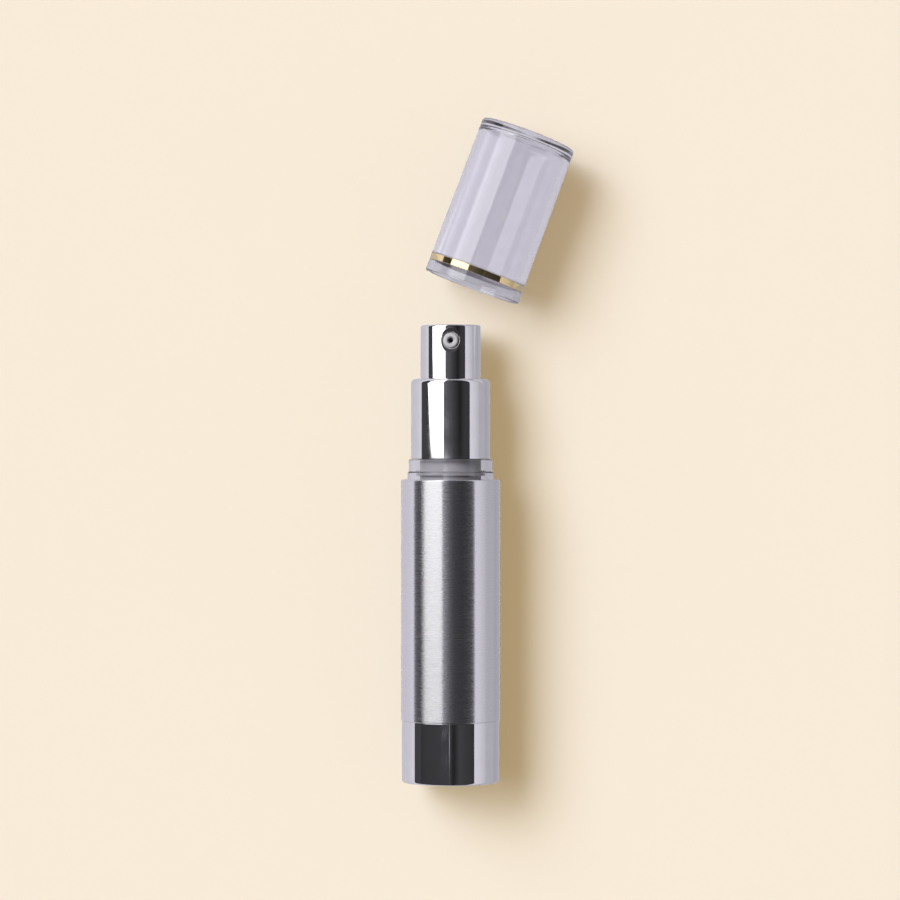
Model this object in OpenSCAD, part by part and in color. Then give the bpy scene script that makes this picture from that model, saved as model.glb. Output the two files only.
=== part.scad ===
// Airless pump bottle on its side, with its overcap taken off and laid beyond the nozzle.
// The foot of the base is in the plane y = 0, the bottle's axis runs along +Y, and the nozzle points up.
// Each piece is modelled upright, with the bottle's axis along z, and is then laid down.

/* [Sleeve] */
// Outer diameter of the brushed sleeve
sleeve_d = 24; // [22.5:0.1:27]
// Height of the sleeve
sleeve_h = 58.2; // [45:0.1:90]
// Sheet thickness of the sleeve
sleeve_wall = 0.4; // [0.3:0.05:0.6]
// Radius of the sleeve's turned-in edge
sleeve_edge = 0.3; // [0.1:0.05:0.5]

/* [Base cup] */
// Visible height of the base cup
base_h = 15; // [11:0.1:25]
// Step from the sleeve's face in to the base cup's face
base_step = 0.2; // [0.1:0.05:0.3]
// Wall thickness of the base cup
base_wall = 0.75; // [0.65:0.05:1]
// Floor thickness of the base cup
base_floor = 1.2; // [0.8:0.1:2]
// Edge radius at the foot
base_edge = 0.6; // [0.2:0.1:0.9]
// Height of the spigot inside the sleeve
spigot_h = 4.5; // [2:0.1:8]
// Diameter of the vent hole through the base
vent_d = 1; // [0.6:0.1:2]
// Distance of the vent hole from the axis
vent_offset = 4; // [2:0.1:7]

/* [Inner bottle] */
// Wall thickness of the inner bottle
bottle_wall = 1.2; // [0.9:0.1:1.6]
// Diameter of the neck at the root of its thread
neck_d = 14.8; // [14.4:0.1:15]
// Bore of the neck
neck_bore_d = 12; // [11.4:0.1:12.6]
// Height of the neck above the shoulder ring
neck_rise = 6.9; // [6.6:0.1:10]
// Height of the bead under the thread
bead_h = 1.2; // [0.6:0.1:2]
// Height of the funnel that leads into the neck
funnel_h = 2.5; // [1.5:0.1:5]
// Flange thickness of the bottom plug
plug_flange = 1; // [0.6:0.1:1.6]
// Depth of the bottom plug inside the bottle
plug_depth = 2.4; // [1.5:0.1:5]
// Wall thickness of the bottom plug
plug_wall = 1; // [0.6:0.1:1.6]

/* [Follower] */
// Height of the follower over its two lips
follower_h = 8.5; // [6:0.1:12]
// Height of each sealing lip
lip_h = 1.2; // [0.6:0.1:2]
// Thickness of the follower's disc and wall
follower_wall = 1.1; // [0.8:0.1:1.6]
// Depth of the follower's disc below its upper lip
follower_dish = 1.8; // [1.5:0.1:4]

/* [Neck thread] */
// Pitch of the neck thread
thread_pitch = 3; // [2.6:0.1:3.4]
// Height of a thread's ridge above its root
thread_depth = 0.9; // [0.7:0.05:1]
// Width of a ridge at its root
thread_root = 1.2; // [0.8:0.1:1.3]
// Width of a ridge at its crest
thread_crest = 0.6; // [0.3:0.1:0.7]
// Turns of thread on the neck
thread_turns = 1.5; // [1:0.05:1.6]

/* [Shoulder ring] */
// Width of the sleeve's turned-in edge outside the ring
shoulder_w = 1.55; // [1.4:0.05:1.7]
// Visible height of the shoulder ring
ring_h = 4.9; // [4:0.1:9]
// Height of the lower tier
ring_tier = 1.9; // [1:0.1:3]
// Step from the lower tier in to the upper tier
ring_step = 0.3; // [0.2:0.05:0.5]
// Edge radius of the lower tier
ring_edge = 0.4; // [0.1:0.05:0.8]
// Height of the foot held under the sleeve's edge
ring_foot = 2.3; // [1:0.1:4]

/* [Collar] */
// Wall thickness of the screw cap under the collar
screw_wall = 0.62; // [0.5:0.02:0.8]
// Height of the collar
collar_h = 19.4; // [18.6:0.1:24]
// Sheet thickness of the collar
collar_wall = 0.4; // [0.3:0.05:0.5]
// Top thickness of the collar
collar_top = 0.6; // [0.4:0.1:1]
// Edge radius of the collar
collar_edge = 0.5; // [0.2:0.05:0.6]
// Top thickness of the screw cap
plate_t = 1; // [0.7:0.1:1.5]
// Diameter of the screw cap's top hole
plate_hole_d = 10; // [9.2:0.1:12]

/* [Pump] */
// Stroke of the pump
stroke = 4.5; // [3:0.1:5.5]
// Bore of the pump barrel
barrel_d = 7.6; // [7.4:0.1:8.4]
// Wall thickness of the barrel
barrel_wall = 1; // [0.7:0.1:1.2]
// Thickness of the neck gasket
gasket_t = 0.8; // [0.5:0.1:1.2]
// Thickness of the barrel's flange
flange_t = 1; // [0.7:0.1:1.5]
// Room between the barrel's flange and the screw cap
flange_gap = 0.6; // [0.3:0.1:0.9]
// Height of the seal that plugs the neck's bore
bore_seal_h = 3.8; // [2:0.1:6]
// Thickness of the lid
lid_t = 0.8; // [0.5:0.1:1.2]
// Depth of the lid's guide in the barrel
guide_h = 2.2; // [1:0.1:4]
// Height of the pump piston
piston_h = 3.2; // [2.4:0.1:5]
// Lag of the piston on the stem
piston_lag = 0.6; // [0.3:0.1:1.2]
// Wall thickness of the piston
piston_wall = 0.6; // [0.4:0.05:0.7]
// Outer diameter of the stem
stem_d = 4.6; // [4.4:0.1:5]
// Bore of the stem
stem_bore_d = 2.2; // [1.6:0.1:2.4]
// Step in the stem's radius that stops the piston
stem_step = 0.4; // [0.3:0.05:0.5]
// Diameter of the cross ports in the stem
port_d = 0.9; // [0.5:0.1:1]
// Thickness of the stop under the piston
stop_t = 1; // [0.6:0.1:1.6]

/* [Inlet valve] */
// Diameter of the inlet ball
ball_d = 3; // [2.8:0.1:3.4]
// Lift of the ball off its seat
ball_lift = 0.8; // [0.5:0.1:1.2]
// Bore of the inlet
inlet_d = 1.8; // [1.4:0.1:2]
// Thickness of the ball cage
cage_t = 1.2; // [0.8:0.1:2]
// Length of the inlet below the valve seat
inlet_h = 1.5; // [1:0.1:2.5]

/* [Return spring] */
// Wire diameter of the return spring
wire_d = 0.7; // [0.5:0.05:0.8]
// Mean diameter of the return spring
spring_d = 7.2; // [7:0.1:7.6]
// Number of coils
coils = 6; // [4:0.5:7]
// Room left between the coils when the pump is fully pressed
coil_room = 0.7; // [0.6:0.1:1.5]

/* [Actuator] */
// Outer diameter of the actuator
head_d = 14.54; // [14.3:0.02:14.8]
// Height of the actuator above the collar
head_h = 13; // [12:0.1:18]
// Wall thickness of the actuator's shell
head_wall = 0.8; // [0.6:0.05:1]
// Top thickness of the actuator's shell
head_top = 0.6; // [0.4:0.1:1]
// Edge radius of the actuator
head_edge = 0.45; // [0.2:0.05:0.7]
// Wall thickness of the actuator's core
core_wall = 0.7; // [0.5:0.05:0.8]
// Deck thickness of the actuator's core
core_deck = 1.2; // [0.8:0.1:1.4]
// Diameter of the core's hub round the stem
hub_d = 6.8; // [6.4:0.1:8]

/* [Nozzle] */
// Distance of the nozzle's centre from the top of the actuator
nozzle_drop = 3.8; // [3.6:0.1:4.2]
// Outer diameter of the nozzle insert
nozzle_d = 4.1; // [3.6:0.1:4.3]
// Diameter of the nozzle's raised face
nozzle_face_d = 3.4; // [2.6:0.1:3.5]
// Diameter of the orifice
orifice_d = 1.5; // [0.8:0.1:1.8]
// Height of the raised face above the nozzle's rim
nozzle_rim = 0.3; // [0.1:0.05:0.5]
// Depth of the nozzle's face below the actuator's surface
nozzle_sunk = 0.27; // [0.1:0.05:0.4]
// Length of the nozzle insert
nozzle_h = 2.8; // [2:0.1:3.2]
// Width of the dimple round the nozzle
dimple_w = 0.6; // [0.2:0.1:0.9]
// Bore of the channel to the nozzle
channel_d = 1.4; // [1:0.1:1.8]

/* [Overcap] */
// Wall thickness of the overcap's mouth
mouth_wall = 1.35; // [1.2:0.05:1.6]
// Amount by which the closed end is narrower than the mouth
cap_draft = 0.4; // [0:0.1:1]
// Length of the overcap
cap_h = 39.5; // [39.4:0.1:60]
// Thickness of the closed end
cap_top = 1.1; // [0.8:0.1:2]
// Wall thickness of the clear shell beside the liner
cap_wall = 0.8; // [0.6:0.05:1]
// Edge radius of the closed end
cap_edge = 0.7; // [0.3:0.1:1]
// Height of the mouth below the liner
mouth_h = 4.6; // [4:0.1:5]
// Wall thickness of the liner
liner_wall = 0.65; // [0.5:0.05:0.8]
// Top thickness of the liner
liner_top = 0.6; // [0.4:0.1:1]
// Edge radius of the liner's closed end
liner_edge = 2; // [1:0.1:3]
// Height of the gold ring
gold_h = 1.6; // [0.8:0.1:1.7]
// Distance of the gold ring from the mouth's rim
gold_z = 2.8; // [1:0.1:2.9]
// Depth of the gold ring's groove
gold_t = 0.35; // [0.2:0.05:0.5]

/* [Layout] */
// Distance along the bottle's axis from the actuator to the centre of the overcap's mouth
cap_gap = 9.3; // [8:0.1:60]
// Distance of the mouth's centre from the bottle's axis
cap_side = 5.1; // [-10:0.1:20]
// Angle between the overcap's axis and the bottle's axis
cap_turn = 20.5; // [0:0.5:30]

/* [Hidden] */
$fn = 96;

// Clearances: pressed together, sliding or turning, loose, over a thread's crest, and between ends that meet
press_gap = 0.03;
slide_gap = 0.06;
loose_gap = 0.15;
crest_gap = 0.2;
end_gap = 0.1;
// Depth to which a thread's root is sunk in its wall
root_sink = 0.2;
// Points along each rounded edge, and steps in a turn of thread and of spring
edge_steps = 5;
thread_steps = 30;
spring_steps = 8;
wire_sides = 6;

// Radii from the sleeve inwards
sleeve_r = sleeve_d / 2;
sleeve_bore_r = sleeve_r - sleeve_wall;
base_r = sleeve_r - base_step;
base_bore_r = base_r - base_wall;
spigot_r = sleeve_bore_r - slide_gap;
bottle_r = base_bore_r - loose_gap;
bottle_bore_r = bottle_r - bottle_wall;
neck_r = neck_d / 2;
neck_bore_r = neck_bore_d / 2;
crest_r = neck_r + thread_depth;
ring_r = sleeve_r - shoulder_w;
ring_bore_r = crest_r + crest_gap;
ring_upper_r = ring_r - ring_step;
cap_thread_r = crest_r + crest_gap;
screw_cap_r = cap_thread_r + screw_wall;
collar_r = screw_cap_r + press_gap + collar_wall;
flange_r = cap_thread_r - flange_gap;
barrel_bore_r = barrel_d / 2;
barrel_r = barrel_bore_r + barrel_wall;
bore_seal_r = neck_bore_r - slide_gap;
stem_r = stem_d / 2;
stem_low_r = stem_r - stem_step;
head_r = head_d / 2;
head_bore_r = head_r - head_wall;
core_r = head_bore_r - press_gap;

// Heights from the foot upwards
plug_z = base_floor;
bottle_z = plug_z + plug_flange;
follower_z = bottle_z + plug_depth + 0.3;
sleeve_top_z = base_h + sleeve_h;
foot_top_z = sleeve_top_z - sleeve_wall - end_gap;
shoulder_z = foot_top_z - ring_foot;
ring_top_z = sleeve_top_z + ring_h;
collar_z = ring_top_z + end_gap;
collar_top_z = collar_z + collar_h;
rim_z = ring_top_z + neck_rise;
thread_z = rim_z - 1 - thread_turns * thread_pitch;
flange_z = rim_z + gasket_t;
lid_z = flange_z + flange_t;
plate_z = lid_z + lid_t;
plate_top_z = plate_z + plate_t;
spring_h = stroke + coils * wire_d + coil_room;
seat_z = plate_z + spring_h;
seat_t = 0.6;
skirt_z = plate_top_z + stroke + 0.3;
head_top_z = collar_top_z + head_h;
nozzle_z = head_top_z - nozzle_drop;
stem_top_z = nozzle_z - channel_d / 2 - 1.2;
hub_z = seat_z + seat_t + 0.3;

// Heights from the lid down to the inlet
guide_z = lid_z - guide_h;
piston_top_z = guide_z - piston_lag - 0.3;
piston_z = piston_top_z - piston_h;
stop_z = piston_z - stop_t;
cage_top_z = stop_z - stroke - 0.4;
cage_z = cage_top_z - cage_t;
ball_r = ball_d / 2;
ball_z = cage_z - end_gap - ball_lift - ball_r;
inlet_r = inlet_d / 2;
valve_r = ball_r + 0.6;
// A cone of 45 degrees carries the ball with a gap of seat_gap, square to the cone
seat_gap = 0.05;
cone_z = ball_z - (ball_r + seat_gap) * sqrt(2) + inlet_r;
cone_top_z = cone_z + valve_r - inlet_r;
inlet_z = cone_z - inlet_h;

// Overcap radii
mouth_r = ring_r + loose_gap;
cap_r = mouth_r + mouth_wall;
cap_end_r = cap_r - cap_draft / 2;
cap_bore_r = cap_end_r - cap_wall;
liner_r = cap_bore_r - press_gap;
gold_top_z = gold_z + gold_h;
liner_top_z = cap_h - cap_top - press_gap;

// Points of an arc in a profile, from angle a to angle b
function arc(x, z, r, a, b) = [
    for (i = [0 : edge_steps])
        let (t = a + (b - a) * i / edge_steps)
        [x + r * cos(t), z + r * sin(t)]
];

module turned(profile) {
    rotate_extrude() polygon(profile);
}

// Lays an upright piece down, so that its axis runs along +Y and its front faces up
module laid() {
    rotate([-90, 0, 0]) children();
}

// Lays a piece of the overcap down beyond the bottle, turned by cap_turn
module cap_laid() {
    translate([cap_side, head_top_z + cap_gap, cap_r - sleeve_r])
        rotate([0, 0, -cap_turn]) laid() children();
}

// Corners of a thread's section, counter-clockwise in radius and height
function ridge(root, crest, rise) = root < crest
    ? [[root, -thread_root / 2], [root + (crest - root) * rise, -thread_crest / 2],
       [root + (crest - root) * rise, thread_crest / 2], [root, thread_root / 2]]
    : [[root + (crest - root) * rise, -thread_crest / 2], [root, -thread_root / 2],
       [root, thread_root / 2], [root + (crest - root) * rise, thread_crest / 2]];

// Two triangles for each side of a swept ring, and a fan over each end
function sweep_faces(rings, sides) = concat(
    [for (i = [0 : rings - 2], j = [0 : sides - 1])
        [i * sides + j, i * sides + (j + 1) % sides, (i + 1) * sides + (j + 1) % sides]],
    [for (i = [0 : rings - 2], j = [0 : sides - 1])
        [i * sides + j, (i + 1) * sides + (j + 1) % sides, (i + 1) * sides + j]],
    [for (j = [1 : sides - 2]) [0, j + 1, j]],
    [for (j = [1 : sides - 2]) [(rings - 1) * sides, (rings - 1) * sides + j, (rings - 1) * sides + j + 1]]
);

// A right-hand thread ridge that rises from z0, and runs out into its wall at both ends
module thread(root, crest, z0, start, turns) {
    steps = round(turns * thread_steps);
    points = [
        for (i = [0 : steps])
            let (a = start + 360 * i / thread_steps,
                 rise = max(0.1, min(1, i / 4, (steps - i) / 4)))
            for (p = ridge(root, crest, rise))
                [p[0] * cos(a), p[0] * sin(a), z0 + p[1] + thread_pitch * i / thread_steps]
    ];
    polyhedron(points, sweep_faces(steps + 1, 4), 6);
}

// Polished cup with a spigot for the sleeve
module base_cup() {
    color("silver") laid() difference() {
        turned(concat(
            [[0, 0]],
            arc(base_r - base_edge, base_edge, base_edge, -90, 0),
            [[base_r, base_h], [spigot_r, base_h], [spigot_r, base_h + spigot_h],
             [base_bore_r, base_h + spigot_h], [base_bore_r, base_floor], [0, base_floor]]
        ));
        translate([vent_offset, 0, -1]) cylinder(d = vent_d, h = base_floor + 2);
    }
}

// Brushed tube, turned in at the top over the shoulder ring's foot
module body_sleeve() {
    lip_r = ring_r + slide_gap;
    color("lightgray") laid() turned(concat(
        [[sleeve_bore_r, base_h], [sleeve_r, base_h]],
        arc(sleeve_r - sleeve_edge, sleeve_top_z - sleeve_edge, sleeve_edge, 0, 90),
        [[lip_r, sleeve_top_z], [lip_r, sleeve_top_z - sleeve_wall],
         [sleeve_bore_r, sleeve_top_z - sleeve_wall]]
    ));
}

// Clear ring in two tiers on a foot that the sleeve holds down
module shoulder_ring() {
    tier_z = sleeve_top_z + ring_tier;
    color([0.85, 0.84, 0.88, 0.6]) laid() turned(concat(
        [[ring_bore_r, shoulder_z], [sleeve_bore_r - loose_gap, shoulder_z],
         [sleeve_bore_r - loose_gap, foot_top_z], [ring_r, foot_top_z]],
        arc(ring_r - ring_edge, tier_z - ring_edge, ring_edge, 0, 90),
        [[ring_upper_r, tier_z], [ring_upper_r, ring_top_z - 0.3],
         [ring_upper_r - 0.3, ring_top_z], [ring_bore_r, ring_top_z]]
    ));
}

// Milky bottle with a funnel, a screw neck and a bead that centres the shoulder ring
module inner_bottle() {
    bead_z = sleeve_top_z + 1;
    bead_r = ring_bore_r - slide_gap;
    funnel_z = shoulder_z - bottle_wall;
    color("ghostwhite") laid() {
        turned([
            [bottle_bore_r, bottle_z], [bottle_r, bottle_z], [bottle_r, shoulder_z - 0.5],
            [bottle_r - 0.5, shoulder_z], [neck_r, shoulder_z], [neck_r, bead_z],
            [bead_r, bead_z], [bead_r, bead_z + bead_h], [neck_r, bead_z + bead_h],
            [neck_r, rim_z], [neck_bore_r, rim_z], [neck_bore_r, funnel_z],
            [bottle_bore_r, funnel_z - funnel_h]
        ]);
        thread(neck_r - root_sink, crest_r, thread_z, 0, thread_turns);
    }
}

// Plug in the open lower end of the inner bottle, with a vent
module bottom_plug() {
    plug_r = bottle_bore_r - press_gap;
    color("white") laid() turned([
        [vent_d / 2, plug_z], [bottle_r, plug_z], [bottle_r, bottle_z], [plug_r, bottle_z],
        [plug_r, bottle_z + plug_depth], [plug_r - plug_wall, bottle_z + plug_depth],
        [plug_r - plug_wall, bottle_z], [vent_d / 2, bottle_z]
    ]);
}

// Follower disc with a sealing lip at each end of its wall
module follower_piston() {
    lip_r = bottle_bore_r - slide_gap;
    wall_r = lip_r - 0.4;
    top_z = follower_z + follower_h;
    disc_z = top_z - follower_dish - follower_wall;
    color("gainsboro") laid() turned([
        [0, disc_z], [wall_r - follower_wall, disc_z], [wall_r - follower_wall, follower_z],
        [lip_r, follower_z], [lip_r, follower_z + lip_h], [wall_r, follower_z + lip_h + 0.4],
        [wall_r, top_z - lip_h - 0.4], [lip_r, top_z - lip_h], [lip_r, top_z],
        [wall_r - follower_wall, top_z], [wall_r - follower_wall, disc_z + follower_wall],
        [0, disc_z + follower_wall]
    ]);
}

// Flat gasket on the rim of the neck
module neck_gasket() {
    color("dimgray") laid() turned([
        [neck_bore_r, rim_z], [neck_r, rim_z], [neck_r, flange_z], [neck_bore_r, flange_z]
    ]);
}

// Barrel with its flange, a seal in the neck's bore and the inlet valve's seat
module pump_housing() {
    color("whitesmoke") laid() turned([
        [inlet_r, inlet_z], [inlet_r + 1.2, inlet_z], [barrel_r, cone_z], [barrel_r, flange_z - bore_seal_h],
        [bore_seal_r, flange_z - bore_seal_h + 0.4], [bore_seal_r, flange_z], [flange_r, flange_z],
        [flange_r, lid_z], [barrel_bore_r, lid_z], [barrel_bore_r, cage_z], [valve_r, cage_z],
        [valve_r, cone_top_z], [inlet_r, cone_z]
    ]);
}

// Lid with a guide for the stem
module housing_lid() {
    hole_r = stem_r + slide_gap;
    guide_r = barrel_bore_r - slide_gap;
    color("white") laid() turned([
        [hole_r, guide_z], [guide_r, guide_z], [guide_r, lid_z], [flange_r, lid_z],
        [flange_r, plate_z], [hole_r, plate_z]
    ]);
}

// Ball of the inlet valve
module inlet_ball() {
    color("lightsteelblue") laid() translate([0, 0, ball_z]) sphere(r = ball_r);
}

// Perforated disc over the ball
module ball_cage() {
    hole_count = 4;
    hole_r = 0.5;
    ring = barrel_bore_r - 1.1;
    color("white") laid() difference() {
        translate([0, 0, cage_z]) cylinder(r = barrel_bore_r - press_gap, h = cage_t);
        for (i = [0 : hole_count - 1])
            rotate([0, 0, 360 * i / hole_count])
                translate([ring, 0, cage_z - 1]) cylinder(r = hole_r, h = cage_t + 2);
    }
}

// Hollow stem with cross ports, a stop for the piston and a seat for the spring
module stem() {
    seat_r = spring_d / 2 + wire_d / 2 + 0.2;
    step_z = piston_top_z + piston_lag;
    color("white") laid() difference() {
        turned([
            [stem_bore_d / 2, piston_z], [stem_low_r, piston_z], [stem_low_r, step_z],
            [stem_r, step_z], [stem_r, seat_z], [seat_r, seat_z], [seat_r, seat_z + seat_t],
            [stem_r, seat_z + seat_t], [stem_r, stem_top_z], [stem_bore_d / 2, stem_top_z]
        ]);
        translate([0, 0, piston_top_z - port_d])
            rotate([0, 90, 0]) cylinder(d = port_d, h = stem_d + 2, center = true);
    }
}

// Plug in the stem's lower end, whose flange carries the piston
module stem_plug() {
    stop_r = barrel_bore_r - 0.6;
    spigot = stem_bore_d / 2 - press_gap;
    color("whitesmoke") laid() turned([
        [0, stop_z], [stop_r, stop_z], [stop_r, piston_z], [spigot, piston_z],
        [spigot, piston_top_z - 2 * port_d], [0, piston_top_z - 2 * port_d]
    ]);
}

// Pump piston: a hub on the stem and a lipped wall against the barrel
module piston_seal() {
    bore_r = stem_low_r + slide_gap;
    lip_r = barrel_bore_r - slide_gap;
    web_z = (piston_z + piston_top_z) / 2;
    color("gainsboro") laid() turned([
        [bore_r, piston_z], [bore_r + piston_wall, piston_z], [bore_r + piston_wall, web_z - 0.4],
        [lip_r - piston_wall, web_z - 0.4], [lip_r - piston_wall, piston_z + 0.2], [lip_r, piston_z + 0.2],
        [lip_r, piston_top_z - 0.2], [lip_r - piston_wall, piston_top_z - 0.2],
        [lip_r - piston_wall, web_z + 0.4], [bore_r + piston_wall, web_z + 0.4],
        [bore_r + piston_wall, piston_top_z], [bore_r, piston_top_z]
    ]);
}

// Height of the spring's wire after t coils: the first and the last coil lie nearly flat
function wire_z(t, rise, flat) = t < 1
    ? t * flat
    : t > coils - 1
        ? rise - (coils - t) * flat
        : flat + (t - 1) * (rise - 2 * flat) / (coils - 2);

// Coil spring between the lid and the stem's seat
module return_spring() {
    wire_r = wire_d / 2;
    rise = spring_h - wire_d - end_gap;
    flat = wire_d + end_gap;
    steps = round(coils * spring_steps);
    points = [
        for (i = [0 : steps])
            let (a = 360 * i / spring_steps,
                 z = plate_z + end_gap / 2 + wire_r + wire_z(i / spring_steps, rise, flat))
            for (j = [0 : wire_sides - 1])
                let (b = 360 * j / wire_sides,
                     r = spring_d / 2 + wire_r * cos(b))
                [r * cos(a), r * sin(a), z + wire_r * sin(b)]
    ];
    color("silver") laid() polyhedron(points, sweep_faces(steps + 1, wire_sides), 6);
}

// Threaded cap that clamps the lid, the barrel's flange and the gasket on the neck
module screw_cap() {
    skirt_z = collar_z + 0.2;
    flank_gap = 0.12;
    overlap = cap_thread_r - neck_r;
    slope = (thread_root - thread_crest) / 2 / thread_depth;
    drop = thread_root - overlap * slope + flank_gap;
    first_z = skirt_z + thread_root / 2 + end_gap;
    start = 360 * (first_z - thread_z + drop) / thread_pitch;
    color("white") laid() {
        turned([
            [cap_thread_r, skirt_z], [screw_cap_r, skirt_z], [screw_cap_r, plate_top_z],
            [plate_hole_d / 2, plate_top_z], [plate_hole_d / 2, plate_z], [cap_thread_r, plate_z]
        ]);
        thread(cap_thread_r + root_sink, cap_thread_r - thread_depth, first_z, start, thread_turns - 0.25);
    }
}

// Polished cover of the screw cap, with a round opening for the actuator
module collar_shell() {
    hole_r = head_r + 0.2;
    bore_r = collar_r - collar_wall;
    color("silver") laid() turned(concat(
        [[bore_r, collar_z], [collar_r, collar_z]],
        arc(collar_r - collar_edge, collar_top_z - collar_edge, collar_edge, 0, 90),
        [[hole_r, collar_top_z], [hole_r, collar_top_z - collar_top], [bore_r, collar_top_z - collar_top]]
    ));
}

// Core of the button: a cup with a hub for the stem, and a boss and channel for the nozzle
module actuator_core() {
    top_z = head_top_z - head_top - press_gap;
    wall_r = core_r - core_wall;
    socket_r = stem_r + slide_gap;
    boss_r = nozzle_d / 2 + 0.7;
    nozzle_back = head_r - nozzle_sunk - nozzle_h;
    color("white") laid() difference() {
        union() {
            turned([
                [wall_r, skirt_z + 0.3], [core_r, skirt_z + 0.3], [core_r, top_z], [0, top_z],
                [0, hub_z], [hub_d / 2, hub_z], [hub_d / 2, top_z - core_deck], [wall_r, top_z - core_deck]
            ]);
            intersection() {
                translate([0, 0, nozzle_z]) rotate([90, 0, 0]) cylinder(r = boss_r, h = core_r);
                translate([0, 0, nozzle_z - boss_r]) cylinder(r = core_r, h = top_z - nozzle_z + boss_r);
            }
        }
        translate([0, 0, hub_z - 1]) cylinder(r = socket_r, h = stem_top_z + end_gap - hub_z + 1);
        cylinder(d = channel_d, h = nozzle_z);
        translate([0, 0, nozzle_z]) rotate([90, 0, 0]) cylinder(d = channel_d, h = core_r);
        translate([0, -nozzle_back, nozzle_z]) rotate([90, 0, 0])
            cylinder(r = nozzle_d / 2 + press_gap, h = core_r);
    }
}

// Polished button with a dimple round the nozzle's hole
module actuator_shell() {
    hole_r = nozzle_d / 2 + slide_gap;
    rim_y = head_r - 0.5;
    dimple_reach = 0.7;
    color("silver") laid() difference() {
        turned(concat(
            [[head_bore_r, skirt_z], [head_r, skirt_z]],
            arc(head_r - head_edge, head_top_z - head_edge, head_edge, 0, 90),
            [[0, head_top_z], [0, head_top_z - head_top], [head_bore_r, head_top_z - head_top]]
        ));
        translate([0, 0, nozzle_z]) rotate([90, 0, 0]) cylinder(r = hole_r, h = head_r + 1);
        translate([0, -rim_y, nozzle_z]) rotate([90, 0, 0])
            cylinder(r1 = hole_r, r2 = hole_r + dimple_w * dimple_reach / 0.5, h = dimple_reach);
    }
}

// White nozzle with a raised face and a stepped orifice
module nozzle_insert() {
    face_y = head_r - nozzle_sunk;
    back_y = face_y - nozzle_h;
    color("white") laid() translate([0, 0, nozzle_z]) rotate([90, 0, 0]) turned([
        [channel_d / 2, back_y], [nozzle_d / 2, back_y], [nozzle_d / 2, face_y - nozzle_rim],
        [nozzle_face_d / 2, face_y - nozzle_rim], [nozzle_face_d / 2, face_y],
        [orifice_d / 2, face_y], [orifice_d / 2, face_y - nozzle_h / 2],
        [channel_d / 2, face_y - nozzle_h / 2]
    ]);
}

// Clear outer shell of the overcap, with a thicker mouth and a groove for the gold ring
module cap_shell() {
    color([0.86, 0.84, 0.9, 0.5]) cap_laid() turned(concat(
        [[mouth_r, 0.2], [mouth_r + 0.2, 0], [cap_r - 0.3, 0], [cap_r, 0.3], [cap_r, gold_z],
         [cap_r - gold_t, gold_z], [cap_r - gold_t, gold_top_z], [cap_r, gold_top_z]],
        arc(cap_end_r - cap_edge, cap_h - cap_edge, cap_edge, 0, 90),
        [[0, cap_h], [0, cap_h - cap_top], [cap_bore_r, cap_h - cap_top],
         [cap_bore_r, mouth_h], [mouth_r, mouth_h]]
    ));
}

// Milky liner that fills the shell above its mouth
module cap_liner() {
    bore_r = liner_r - liner_wall;
    bore_edge = liner_edge - liner_wall;
    bore_top_z = liner_top_z - liner_top;
    color("lavender") cap_laid() turned(concat(
        [[bore_r, mouth_h], [liner_r, mouth_h]],
        arc(liner_r - liner_edge, liner_top_z - liner_edge, liner_edge, 0, 90),
        [[0, liner_top_z], [0, bore_top_z]],
        arc(bore_r - bore_edge, bore_top_z - bore_edge, bore_edge, 90, 0)
    ));
}

// Gold ring, flush with the shell
module cap_ring() {
    color("gold") cap_laid() turned([
        [cap_r - gold_t + press_gap, gold_z + press_gap], [cap_r, gold_z + press_gap],
        [cap_r, gold_top_z - press_gap], [cap_r - gold_t + press_gap, gold_top_z - press_gap]
    ]);
}

base_cup();
body_sleeve();
shoulder_ring();
inner_bottle();
bottom_plug();
follower_piston();
neck_gasket();
pump_housing();
housing_lid();
inlet_ball();
ball_cage();
stem();
stem_plug();
piston_seal();
return_spring();
screw_cap();
collar_shell();
actuator_core();
actuator_shell();
nozzle_insert();
cap_shell();
cap_liner();
cap_ring();
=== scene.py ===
import math

import bpy
import numpy as np
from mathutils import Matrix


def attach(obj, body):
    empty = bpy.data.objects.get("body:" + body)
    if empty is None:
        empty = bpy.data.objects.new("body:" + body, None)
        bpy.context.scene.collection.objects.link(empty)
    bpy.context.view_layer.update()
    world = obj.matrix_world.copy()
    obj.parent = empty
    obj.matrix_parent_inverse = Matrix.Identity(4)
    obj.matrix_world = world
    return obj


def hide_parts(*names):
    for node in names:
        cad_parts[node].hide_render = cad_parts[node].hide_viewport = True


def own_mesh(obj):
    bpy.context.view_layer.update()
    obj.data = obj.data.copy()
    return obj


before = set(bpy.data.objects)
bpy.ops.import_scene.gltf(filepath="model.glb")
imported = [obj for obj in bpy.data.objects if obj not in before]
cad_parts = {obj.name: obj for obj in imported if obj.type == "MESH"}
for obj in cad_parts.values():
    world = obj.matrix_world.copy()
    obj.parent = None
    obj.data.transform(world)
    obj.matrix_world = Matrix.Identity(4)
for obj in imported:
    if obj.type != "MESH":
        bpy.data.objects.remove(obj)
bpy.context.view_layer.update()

# ---- Inner bottle and its plug ----
# The bottle that holds the product is blown in natural polypropylene, so it is milky and a little
# see-through. It stands on its plug in the base cup, and its neck comes up through the clear ring.


def new_finish(name):
    """An empty material: returns it with its node tree and its Principled shader."""
    finish = bpy.data.materials.new(name)
    finish.use_nodes = True
    tree = finish.node_tree
    return finish, tree, tree.nodes["Principled BSDF"]


def put(tree, kind, feeds, **settings):
    """Adds a node with its settings, and feeds each named socket from another socket or with a value."""
    node = tree.nodes.new("ShaderNode" + kind)
    for word, value in settings.items():
        setattr(node, word, value)
    for socket, value in feeds.items():
        if isinstance(value, bpy.types.NodeSocket):
            tree.links.new(value, node.inputs[socket])
        else:
            node.inputs[socket].default_value = value
    return node


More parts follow.
